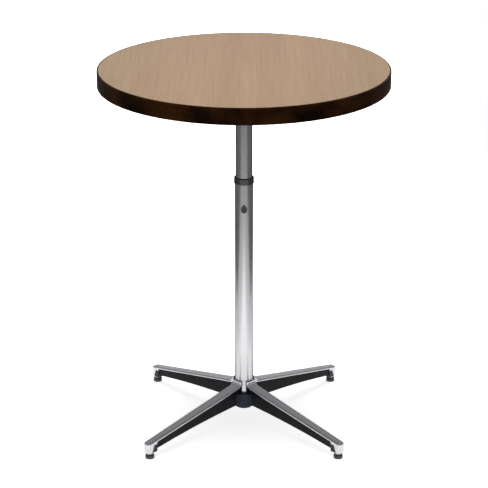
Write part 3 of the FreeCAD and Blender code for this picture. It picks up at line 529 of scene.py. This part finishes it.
def plated_finish(name, bright, dull):
    """Plated or turned metal with duller spots."""
    def build(tree):
        spots = mottle(tree, scale=210, contrast=2.4)
        turning = streaks(tree, stretch=(60, 60, 2600), contrast=1.8)
        normal, _ = eased_edges(tree, radius=0.25 * MM)
        return {"Base Color": mixed(tree, between(tree, spots, 0, 0.7), bright, dull), "Metallic": 1.0,
                "Roughness": between(tree, spots, 0.27, 0.42),
                "Normal": bumped(tree, turning, strength=0.06, depth=0.05 * MM, normal=normal)}
    return new_finish(name, build)


def zinc_finish(colours):
    """Zinc-plated steel."""
    return plated_finish("zinc_plating", colours.zinc, colours.zinc_dull)


def nylon_finish(colours):
    """Black moulded nylon."""
    return moulded_finish("black_moulding", colours.nylon, colours.nylon_rubbed, roughness=0.3)


def collar_finish(colours):
    """Dark glossy collar, black where it is seen at a glancing angle."""
    def build(tree):
        clouds = mottle(tree, scale=120, contrast=1.6)
        normal, wear = eased_edges(tree, radius=0.8 * MM)
        return {"Base Color": mixed(tree, between(tree, wear, 0, 0.3), colours.collar, colours.collar_rubbed),
                "Metallic": 1.0, "Specular Tint": (0, 0, 0, 1),
                "Roughness": between(tree, clouds, 0.16, 0.22), "Normal": normal}
    return new_finish("glossy_collar", build)


def dress(material, *nodes):
    """Give solids of the frame a material."""
    for node in nodes:
        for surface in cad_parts[node].material_slots:
            surface.material = material


# Hexagons: their sides, and how a turned-off corner slopes.
HEX_SIDES = 6
CHAMFER_RISE = math.tan(math.radians(30))

# Wood screws: shares of the head's radius and height, the shank and the recess.
PAN_SEAT = 0.96
PAN_DOME = ((1.0, 0.1), (1.0, 0.36), (0.96, 0.56), (0.86, 0.78), (0.72, 0.93))
POINT_WIDTH = 0.3
POINT_START = 0.96
POINT_TAPER = 3
RECESS_FLOOR_REACH = 0.55
RECESS_FLOOR_WIDTH = 0.7
RECESS_POINT = 1.2

# Hexagon bolts: shares of the shank's radius, the width across flats and the head's height.
TIP_WIDTH = 0.85
BOLT_TIP_BEVEL = 0.15
WASHER_WIDTH = 0.48
WASHER_HEIGHT = 0.06
CORNER_HEIGHT = 0.93
FACE_WIDTH = 0.46
DISH_WIDTH = 0.4
DISH_HEIGHT = 0.96

# Toe screws: shares of the shank's radius, the head's radius and height and the socket's width.
TOE_TIP_BEVEL = 0.25
TOE_EDGE_WIDTH = 0.93
TOE_EDGE_HEIGHT = 0.9
SOCKET_MOUTH = 0.62
SOCKET_EDGE = 0.94
SOCKET_FLOOR = 0.45
SOCKET_POINT = 0.38

# Glide stems: shares of the nut's and the thread's radius, lengths, and rings in a turn of thread.
NUT_FACE = 0.92
NUT_BEVEL = 0.08
FOOT_WIDTH = 0.9
FOOT_BEVEL = 0.4 * MM
STEM_TIP_WIDTH = 0.75
STEM_TIP_BEVEL = 0.5 * MM
THREAD_RUNOUT = 0.6 * MM
THREAD_STEPS = 6


def circle(radius, height):
    """Ring of a turned solid."""
    return lambda angle: (radius, height)


def hexagon_radius(width, angle):
    """Distance of a hexagon's side from its middle, with a corner at angle 0."""
    side = FULL_TURN / HEX_SIDES
    return width / 2 / math.cos(angle % side - side / 2)


def hexagon(width, height):
    """Ring of a solid with six flats."""
    return lambda angle: (hexagon_radius(width, angle), height)


def chamfered_hexagon(width, height, rise):
    """Ring of a hexagon whose corners are turned off, with their rise for each unit of reach."""
    inner = width / 2

    def ring(angle):
        radius = hexagon_radius(width, angle)
        return radius, height + (radius - inner) * rise
    return ring


def cross(reach, half_width, height):
    """Ring of a cross recess."""
    quarter = FULL_TURN / 4

    def ring(angle):
        off_arm = (angle + quarter / 2) % quarter - quarter / 2
        side = abs(math.sin(off_arm))
        end = reach / math.cos(off_arm)
        return (min(end, half_width / side) if side > 0 else end), height
    return ring


def thread(sizes, height):
    """Ring across a sharp thread."""
    crest = sizes.thread_diameter / 2

    def ring(angle):
        phase = (height / sizes.thread_pitch - angle / FULL_TURN) % 1
        return crest - sizes.thread_depth * abs(2 * phase - 1), height
    return ring


def bolt_tip(shank, length, bevel):
    """Rings of a bolt's bevelled end."""
    return [-length, circle(TIP_WIDTH * shank, -length), circle(shank, bevel * shank - length)]


def turned_solid(mesh, place, rings, segments):
    """Add a solid whose rings give radius and height for an angle; a number is a point on its axis."""
    made = []
    for ring in rings:
        if callable(ring):
            spots = []
            for index in range(segments):
                angle = FULL_TURN * index / segments
                radius, height = ring(angle)
                spots.append(Vector((radius * math.cos(angle), radius * math.sin(angle), height)))
        else:
            spots = [Vector((0, 0, ring))]
        made.append([mesh.verts.new(place @ spot) for spot in spots])
    for lower, upper in zip(made, made[1:]):
        for index in range(segments):
            corners = [lower[index % len(lower)], lower[(index + 1) % len(lower)],
                       upper[(index + 1) % len(upper)], upper[index % len(upper)]]
            mesh.faces.new(list(dict.fromkeys(corners)))


def new_object(name, data):
    """Object in the scene that shows the data."""
    made = bpy.data.objects.new(name, data)
    bpy.context.collection.objects.link(made)
    return made


def mesh_object(name, mesh, material):
    """Object in the scene made of the mesh, which is freed."""
    data = bpy.data.meshes.new(name)
    mesh.to_mesh(data)
    mesh.free()
    data.materials.append(material)
    return new_object(name, data)


def finished_piece(context, name, mesh, body, node):
    """Turn the mesh into a zinc-plated piece that stands for a node and moves with its body."""
    bmesh.ops.recalc_face_normals(mesh, faces=mesh.faces)
    for face in mesh.faces:
        face.smooth = True
    for edge in mesh.edges:
        edge.smooth = edge.calc_face_angle(0) < SMOOTH_ANGLE
    piece = mesh_object(name, mesh, zinc_finish(context.scene.table_metal_finish))
    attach(piece, body)
    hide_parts(node)


def islands(node):
    """Lowest and highest corners of each separate solid in a node."""
    mesh = bmesh.new()
    mesh.from_mesh(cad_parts[node].data)
    bmesh.ops.remove_doubles(mesh, verts=mesh.verts, dist=WELD_DISTANCE)
    waiting = set(mesh.verts)
    found = []
    while waiting:
        front = [waiting.pop()]
        spots = []
        while front:
            vert = front.pop()
            spots.append(vert.co.copy())
            for edge in vert.link_edges:
                other = edge.other_vert(vert)
                if other in waiting:
                    waiting.remove(other)
                    front.append(other)
        axes = list(zip(*spots))
        found.append([Vector([pick(axis) for axis in axes]) for pick in (min, max)])
    mesh.free()
    return sorted(found, key=lambda corners: tuple(corners[0]))


def outward_place(spot, axis):
    """Frame at a spot, its Z along the axis and its X turned away from the column where it can be."""
    away = Vector((spot.x, spot.y, 0))
    across = away - away.project(axis)
    if across.length < MM:
        across = Vector((0, 0, 1))
    across.normalize()
    side = axis.cross(across)
    turn = Matrix((across, side, axis)).transposed().to_4x4()
    return Matrix.Translation(spot) @ turn


def hanging_place(low, high, head_height):
    """Frame at the seat of a screw driven upwards, its Z down, and its shank's length."""
    middle = (low + high) / 2
    seat = low.z + head_height
    return outward_place(Vector((middle.x, middle.y, seat)), Vector((0, 0, -1))), high.z - seat


class TABLE_OT_dress_top(bpy.types.Operator):
    """Give the table top its wood-grain sheet, dark edge, board and backing"""

    bl_idname = "table.dress_top"
    bl_label = "Dress the top"

    def execute(self, context):
        colours = context.scene.table_top_finish
        dress(laminate_finish(colours), "top_laminate")
        dress(edge_finish(colours), "edge_band")
        dress(board_finish(colours), "core_panel", "edge_doubler")
        dress(backing_finish(colours), "backing_sheet")
        return {"FINISHED"}


class TABLE_OT_dress_column(bpy.types.Operator):
    """Give the column its plating, its nylon guides and its fittings' finishes"""

    bl_idname = "table.dress_column"
    bl_label = "Dress the column"

    def execute(self, context):
        colours = context.scene.table_metal_finish
        dress(column_finish(colours), "column_inner_tube", "column_outer_tube", "lock_boss")
        dress(collar_finish(colours), "guide_bushing")
        dress(nylon_finish(colours), "lower_guide_cup", "brake_pad")
        dress(coat_finish(colours, "satin_black_coat", colours.paint), "mounting_spider", "top_flange")
        dress(zinc_finish(colours), "lock_stud", "column_foot_plug")
        knob = moulded_finish("knob_moulding", colours.knob, colours.knob_rubbed, roughness=0.36)
        dress(knob, "lock_knob")
        return {"FINISHED"}


class TABLE_OT_dress_base(bpy.types.Operator):
    """Give the hub and legs their black coat, and the legs' caps their polish"""

    bl_idname = "table.dress_base"
    bl_label = "Dress the base"

    def execute(self, context):
        colours = context.scene.table_metal_finish
        legs = [f"leg_{place}" for place in LEG_PLACES]
        dress(coat_finish(colours, "satin_black_coat", colours.paint), *legs)
        dress(coat_finish(colours, "blue_black_coat", colours.hub), "hub")
        for place in LEG_PLACES:
            cap = f"leg_cap_{place}"
            low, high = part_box(cap)
            turn = math.atan2(low[1] + high[1], low[0] + high[0])
            dress(strip_finish(colours, place, turn), cap)
        dress(zinc_finish(colours), "leg_bolts", "tie_bolt", "tie_washer")
        dress(nylon_finish(colours), "hub_bottom_cap")
        return {"FINISHED"}


class TABLE_OT_dress_glides(bpy.types.Operator):
    """Give the glide pads their scuffed plastic and their sockets their brass"""

    bl_idname = "table.dress_glides"
    bl_label = "Dress the glides"

    def execute(self, context):
        colours = context.scene.table_metal_finish
        pads = [f"glide_pad_{place}" for place in LEG_PLACES]
        dress(moulded_finish("glide_moulding", colours.glide, colours.glide_scuffed,
                             roughness=0.5, dust=colours.dust), *pads)
        dress(plated_finish("turned_brass", colours.brass, colours.brass_dull), "glide_sockets")
        return {"FINISHED"}


class TABLE_OT_make_spider_screws(bpy.types.Operator):
    """Make the pan-head wood screws with cross recesses that hold the spider to the top"""

    bl_idname = "table.make_spider_screws"
    bl_label = "Make the spider's screws"

    def execute(self, context):
        sizes = context.scene.table_fastener_sizes
        shank = sizes.wood_shank / 2
        top = sizes.wood_head_height
        mesh = bmesh.new()
        for low, high in islands("spider_screws"):
            head = (high.x - low.x) / 2
            place, length = hanging_place(low, high, top)
            rings = [-length, circle(POINT_WIDTH * shank, -POINT_START * length),
                     circle(shank, POINT_TAPER * shank - length), circle(shank, 0),
                     circle(PAN_SEAT * head, 0)]
            rings += [circle(width * head, height * top) for width, height in PAN_DOME]
            rings += [cross(sizes.recess_reach, sizes.recess_width, top),
                      cross(RECESS_FLOOR_REACH * sizes.recess_reach,
                            RECESS_FLOOR_WIDTH * sizes.recess_width, top - sizes.recess_depth),
                      top - RECESS_POINT * sizes.recess_depth]
            turned_solid(mesh, place, rings, sizes.segments)
        finished_piece(context, "pan_head_screws", mesh, "upper", "spider_screws")
        return {"FINISHED"}


class TABLE_OT_make_flange_bolts(bpy.types.Operator):
    """Make the chamfered hexagon bolts that hold the tube's flange to the spider"""

    bl_idname = "table.make_flange_bolts"
    bl_label = "Make the flange's bolts"

    def execute(self, context):
        sizes = context.scene.table_fastener_sizes
        shank = sizes.bolt_shank / 2
        width = sizes.bolt_width
        top = sizes.bolt_head_height
        mesh = bmesh.new()
        for low, high in islands("flange_bolts"):
            place, length = hanging_place(low, high, top)
            rings = bolt_tip(shank, length, BOLT_TIP_BEVEL)
            rings += [circle(shank, 0), circle(WASHER_WIDTH * width, 0),
                      circle(WASHER_WIDTH * width, WASHER_HEIGHT * top), hexagon(width, WASHER_HEIGHT * top),
                      chamfered_hexagon(width, CORNER_HEIGHT * top, -CHAMFER_RISE),
                      circle(FACE_WIDTH * width, top), circle(DISH_WIDTH * width, DISH_HEIGHT * top),
                      DISH_HEIGHT * top]
            turned_solid(mesh, place, rings, sizes.segments)
        finished_piece(context, "hexagon_bolts", mesh, "upper", "flange_bolts")
        return {"FINISHED"}


class TABLE_OT_make_toe_screws(bpy.types.Operator):
    """Make the socket-head screws that hold the caps' toes, driven from inside the legs' channels"""

    bl_idname = "table.make_toe_screws"
    bl_label = "Make the toes' screws"

    def execute(self, context):
        sizes = context.scene.table_fastener_sizes
        head = sizes.toe_head / 2
        shank = sizes.toe_shank / 2
        top = sizes.toe_head_height
        mesh = bmesh.new()
        for low, high in islands("toe_screws"):
            middle = (low + high) / 2
            away = Vector((middle.x, middle.y, 0)).normalized()
            near = Vector((min(abs(low.x), abs(high.x)), min(abs(low.y), abs(high.y)))).length + head
            far = Vector((max(abs(low.x), abs(high.x)), max(abs(low.y), abs(high.y)))).length - shank
            seat = near + top
            place = outward_place(away * seat + Vector((0, 0, middle.z)), -away)
            rings = bolt_tip(shank, far - seat, TOE_TIP_BEVEL)
            rings += [circle(shank, 0), circle(head, 0), circle(head, TOE_EDGE_HEIGHT * top),
                      circle(TOE_EDGE_WIDTH * head, top), circle(SOCKET_MOUTH * sizes.toe_socket, top),
                      hexagon(sizes.toe_socket, SOCKET_EDGE * top),
                      hexagon(sizes.toe_socket, SOCKET_FLOOR * top), SOCKET_POINT * top]
            turned_solid(mesh, place, rings, sizes.segments)
        finished_piece(context, "socket_head_screws", mesh, "base", "toe_screws")
        return {"FINISHED"}


class TABLE_OT_make_glide_stems(bpy.types.Operator):
    """Make the glides' threaded stems with their chamfered nuts"""

    bl_idname = "table.make_glide_stems"
    bl_label = "Make the glides' stems"

    def execute(self, context):
        sizes = context.scene.table_fastener_sizes
        crest = sizes.thread_diameter / 2
        root = crest - sizes.thread_depth
        half = sizes.nut_width / 2
        rise = sizes.thread_pitch / THREAD_STEPS
        nut_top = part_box("glide_sockets")[0][2]
        nut_bottom = nut_top - sizes.nut_height
        for place in LEG_PLACES:
            node = f"glide_stem_{place}"
            low, high = (Vector(corner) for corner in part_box(node))
            middle = (low + high) / 2
            spot = outward_place(Vector((middle.x, middle.y, 0)), Vector((0, 0, 1)))
            rings = [low.z, circle(FOOT_WIDTH * crest, low.z), circle(root, low.z + FOOT_BEVEL),
                     circle(root, nut_bottom), circle(NUT_FACE * half, nut_bottom),
                     chamfered_hexagon(sizes.nut_width, nut_bottom + NUT_BEVEL * half, CHAMFER_RISE),
                     chamfered_hexagon(sizes.nut_width, nut_top - NUT_BEVEL * half, -CHAMFER_RISE),
                     circle(NUT_FACE * half, nut_top), circle(crest, nut_top)]
            count = int((high.z - THREAD_RUNOUT - nut_top) / rise)
            rings += [thread(sizes, nut_top + rise * step) for step in range(1, count)]
            rings += [circle(root, high.z - STEM_TIP_BEVEL), circle(STEM_TIP_WIDTH * crest, high.z), high.z]
            mesh = bmesh.new()
            turned_solid(mesh, spot, rings, sizes.segments // 2)
            finished_piece(context, f"threaded_stem_{place}", mesh, f"screw_{place}", node)
        return {"FINISHED"}


class TABLE_OT_set_studio(bpy.types.Operator):
    """Lay the pale floor, hang two soft boxes, set the camera and paint the walls"""

    bl_idname = "table.set_studio"
    bl_label = "Set the studio"

    def execute(self, context):
        studio = context.scene.table_studio
        self.lay_floor(studio)
        self.hang_box(studio, "key")
        self.hang_box(studio, "sweep")
        self.set_camera(context, studio)
        self.paint_walls(context, studio)
        context.scene.view_settings.view_transform = "Standard"
        return {"FINISHED"}

    def paint_walls(self, context, studio):
        """Grey walls, paler low down, over a darker ground, and white where they are seen directly."""
        world = bpy.data.worlds.new("studio")
        world.use_nodes = True
        tree = world.node_tree
        background = next(node for node in tree.nodes if node.type == "BACKGROUND")
        direction = add_node(tree, "ShaderNodeTexCoord").outputs["Generated"]
        rise = along_axes(tree, direction)["Z"]
        height = ramp(tree, rise, 0.0, studio.wall_rise)
        above = arithmetic(tree, "GREATER_THAN", rise, 0.0)
        walls = mixed(tree, above, studio.ground, mixed(tree, height, studio.horizon, studio.surround))
        feed(tree, background.inputs["Color"], mixed(tree, self.seen_directly(tree), walls, studio.backdrop))
        context.scene.world = world

    def lay_floor(self, studio):
        """Pale floor that widens to the front, with a faint unevenness."""
        side = studio.floor_side
        front_side = side + studio.floor_widening * studio.floor_front
        half = [(front_side, -studio.floor_front), (side, 0), (side, studio.floor_back)]
        outline = half + [(-aside, along) for aside, along in reversed(half)]
        mesh = bmesh.new()
        mesh.faces.new([mesh.verts.new((aside, along, 0)) for aside, along in outline])

        def build(tree):
            trace = mottle(tree, scale=3, contrast=1.5)
            return {"Base Color": mixed(tree, trace, studio.floor_trace, studio.floor),
                    "Roughness": between(tree, trace, 0.8, 0.9), "Specular IOR Level": 0.2,
                    "Emission Color": (1, 1, 1), "Emission Strength": self.glow(tree, studio)}
        material = new_finish("pale_floor", build)
        self.open_below(material.node_tree)
        floor = mesh_object("floor", mesh, material)

    def open_below(self, tree):
        """Let the table be seen through the floor from below."""
        output = next(node for node in tree.nodes if node.type == "OUTPUT_MATERIAL")
        surface = output.inputs["Surface"].links[0].from_socket
        clear = add_node(tree, "ShaderNodeBsdfTransparent").outputs[0]
        below = add_node(tree, "ShaderNodeNewGeometry").outputs["Backfacing"]
        parted = add_node(tree, "ShaderNodeMixShader", {0: below, 1: surface, 2: clear}).outputs[0]
        feed(tree, output.inputs["Surface"], parted)

    def seen_directly(self, tree):
        """Mask of what the camera sees, also through glass."""
        path = add_node(tree, "ShaderNodeLightPath").outputs
        return arithmetic(tree, "MAXIMUM", path["Is Camera Ray"], path["Is Transmission Ray"])

    def glow(self, tree, studio):
        """Glow of the floor: fullest beyond the shadow if seen directly, and near the table a painted pool of
        light that only gloss sees.
        """
        place = object_place(tree)
        whitened = ramp(tree, length_of(tree, place), studio.shadow_reach, 2 * studio.shadow_reach,
                        low=studio.shadow_glow, smooth=True)
        direct = arithmetic(tree, "MULTIPLY", self.seen_directly(tree), whitened)
        axes = along_axes(tree, place)
        behind = arithmetic(tree, "MAXIMUM", axes["Y"], 0.0)
        widened = arithmetic(tree, "MULTIPLY", behind, studio.glow_widening)
        aside = arithmetic(tree, "DIVIDE", axes["X"], arithmetic(tree, "ADD", widened, studio.glow_side))
        ahead = arithmetic(tree, "DIVIDE", arithmetic(tree, "MINIMUM", axes["Y"], 0.0), studio.glow_front)
        offset = add_node(tree, "ShaderNodeCombineXYZ", {"X": aside, "Y": ahead}).outputs[0]
        # Painted pool of light: near the table the floor glows for glossy rays only, fading to the sides and
        # the front.
        painted_pool = ramp(tree, length_of(tree, offset), 1.0, studio.glow_core, smooth=True)
        glossy = add_node(tree, "ShaderNodeLightPath").outputs["Is Glossy Ray"]
        near = arithmetic(tree, "MULTIPLY", painted_pool, studio.mirrored_glow)
        return arithmetic(tree, "MAXIMUM", direct, arithmetic(tree, "MULTIPLY", glossy, near))

    def hang_box(self, studio, name):
        """Soft box that shines straight down and isn't mirrored in gloss."""
        lamp = bpy.data.lights.new(f"{name}_box", "AREA")
        lamp.shape = "RECTANGLE"
        lamp.size = getattr(studio, f"{name}_width")
        lamp.size_y = getattr(studio, f"{name}_length")
        lamp.energy = getattr(studio, f"{name}_power")
        lamp.spread = studio.box_spread
        box = new_object(f"{name}_box", lamp)
        box.location = (0, getattr(studio, f"{name}_back"), studio.box_height)
        box.visible_glossy = False

    def set_camera(self, context, studio):
        """Camera in front of the column, looking down on it."""
        lens = bpy.data.cameras.new("camera")
        lens.lens = studio.camera_lens
        camera = new_object("camera", lens)
        camera.location = (0, -studio.camera_back, studio.camera_height)
        camera.rotation_euler = (math.pi / 2 - studio.camera_pitch, 0, 0)
        context.scene.camera = camera


OPERATORS = (TABLE_OT_dress_top, TABLE_OT_dress_column, TABLE_OT_dress_base, TABLE_OT_dress_glides,
             TABLE_OT_make_spider_screws, TABLE_OT_make_flange_bolts, TABLE_OT_make_toe_screws,
             TABLE_OT_make_glide_stems, TABLE_OT_set_studio)
SETTINGS = {"table_top_finish": TopFinish, "table_metal_finish": MetalFinish,
            "table_fastener_sizes": FastenerSizes, "table_studio": StudioSettings}


class TABLE_PT_panel(bpy.types.Panel):
    """Steps and settings of the table"""

    bl_idname = "TABLE_PT_panel"
    bl_label = "Pedestal table"
    bl_space_type = "VIEW_3D"
    bl_region_type = "UI"
    bl_category = "Table"

    def draw(self, context):
        for operator in OPERATORS:
            self.layout.operator(operator.bl_idname)
        for setting in SETTINGS:
            group = getattr(context.scene, setting)
            box = self.layout.box()
            for name in group.bl_rna.properties.keys():
                if name not in ("rna_type", "name"):
                    box.prop(group, name)


CLASSES = (*SETTINGS.values(), *OPERATORS, TABLE_PT_panel)


def register():
    """Add the classes and the scene's settings."""
    for kind in CLASSES:
        bpy.utils.register_class(kind)
    for setting, group in SETTINGS.items():
        setattr(bpy.types.Scene, setting, PointerProperty(type=group))


def unregister():
    """Take the settings and the classes away."""
    for setting in SETTINGS:
        delattr(bpy.types.Scene, setting)
    for kind in reversed(CLASSES):
        bpy.utils.unregister_class(kind)


def main():
    """Dress the table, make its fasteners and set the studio."""
    register()
    bpy.ops.table.dress_top()
    bpy.ops.table.dress_column()
    bpy.ops.table.dress_base()
    bpy.ops.table.dress_glides()
    bpy.ops.table.make_spider_screws()
    bpy.ops.table.make_flange_bolts()
    bpy.ops.table.make_toe_screws()
    bpy.ops.table.make_glide_stems()
    bpy.ops.table.set_studio()


if __name__ == "__main__":
    main()
